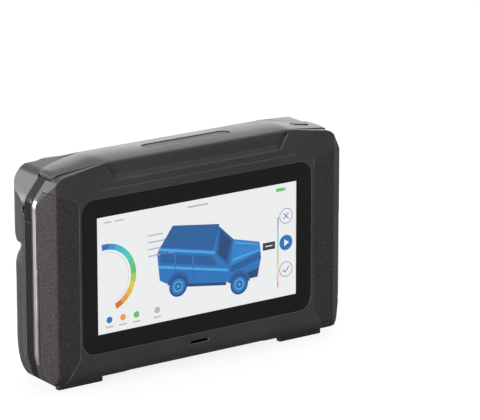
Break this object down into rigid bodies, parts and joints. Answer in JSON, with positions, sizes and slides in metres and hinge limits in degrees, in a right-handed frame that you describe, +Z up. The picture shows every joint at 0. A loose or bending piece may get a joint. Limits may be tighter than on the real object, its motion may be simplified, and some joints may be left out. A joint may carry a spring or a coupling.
{
  "type": "handheld 3d scanner",
  "caption": "Handheld structured-light scanner with a touch screen in front, two toed-in camera pods, a projector window and rubber battery handles behind.",
  "frame": {"origin": "on the surface it stands on, under the middle of the case's bounding box", "axes": "+X to the right as the screen is read, +Y from the screen to the camera pods, +Z up"},
  "size_m": [0.2072, 0.051, 0.1303],
  "materials": {
    "dark_shell_plastic": "fine matte texture",
    "titanium_paint": "satin metallic paint",
    "silver_grey_plastic": "satin",
    "frame_black": "matte",
    "grip_rubber": "fine texture",
    "cover_glass": "polished",
    "screen_panel": "lit screen",
    "formed_steel": "plain",
    "inlay_brown": "ribbed",
    "button_grey": "satin",
    "board_green": "solder mask",
    "chip_black": "moulded",
    "board_black": "solder mask",
    "black_gloss": "polished",
    "window_glass": "polished",
    "lens_glass": "coated",
    "black_aluminium": "anodised",
    "led_epoxy": "clear",
    "brass_module": "turned",
    "bench_alloy": "cast",
    "cell_wrap": "shrink wrap",
    "flex_amber": "polyimide"
  },
  "bodies": {
    "housing": {"battery_cells_left": "cell_wrap", "battery_cells_right": "cell_wrap", "battery_cradle_left": "frame_black", "battery_cradle_right": "frame_black", "camera_barrel_left": "black_aluminium", "camera_barrel_right": "black_aluminium", "camera_board_left": "board_green", "camera_board_right": "board_green", "camera_lens_left": "lens_glass", "camera_lens_right": "lens_glass", "camera_ribbons": "flex_amber", "case_screws": "formed_steel", "centre_window": "window_glass", "colour_camera": "black_aluminium", "display_bracket": "formed_steel", "display_glass": "cover_glass", "display_panel": "screen_panel", "display_ribbon": "flex_amber", "fan_frame": "frame_black", "flash_lamp": "black_aluminium", "front_grip_left": "grip_rubber", "front_grip_right": "grip_rubber", "front_shell": "dark_shell_plastic", "handle_pad_left": "grip_rubber", "handle_pad_right": "grip_rubber", "heat_sink": "bench_alloy", "infrared_leds": "led_epoxy", "inner_screws": "formed_steel", "laser_modules": "brass_module", "led_board_left": "board_black", "led_board_right": "board_black", "main_board": "board_green", "marker_lamps": "led_epoxy", "mid_frame": "frame_black", "optical_bench": "bench_alloy", "pattern_projector": "black_aluminium", "pod_bezel_left": "black_gloss", "pod_bezel_right": "black_gloss", "pod_window_left": "window_glass", "pod_window_right": "window_glass", "port_cover_pin": "formed_steel", "power_switch": "board_green", "processor": "chip_black", "rear_shell": "titanium_paint", "rubber_feet": "grip_rubber", "sensor_faceplate": "dark_shell_plastic", "shield_can": "formed_steel", "side_plug": "titanium_paint", "side_sensor_left": "black_aluminium", "side_sensor_right": "black_aluminium", "speaker_driver": "frame_black", "speaker_mesh": "formed_steel", "top_cover": "silver_grey_plastic", "top_inlay": "inlay_brown", "usb_board": "board_green", "usb_receptacle": "formed_steel"},
    "power_button": {"power_button": "button_grey"},
    "port_cover": {"port_cover": "frame_black"},
    "fan_rotor": {"fan_rotor": "frame_black"}
  },
  "joints": [
    {"name": "power_button_press", "type": "slide", "parent": "housing", "child": "power_button", "axis": [-0.1644, 0, -0.9864], "range_m": [0, 0.0008], "stiffness_N_per_m": 900, "springref_m": -0.0006},
    {"name": "port_cover_swing", "type": "hinge", "parent": "housing", "child": "port_cover", "pos_m": [-0.1028, -0.01295, 0.1042], "axis": [0, 0, 1], "range_deg": [0, 85]},
    {"name": "fan_spin", "type": "hinge", "parent": "housing", "child": "fan_rotor", "pos_m": [0, 0.00065, 0.04], "axis": [0, 1, 0], "continuous": true}
  ]
}
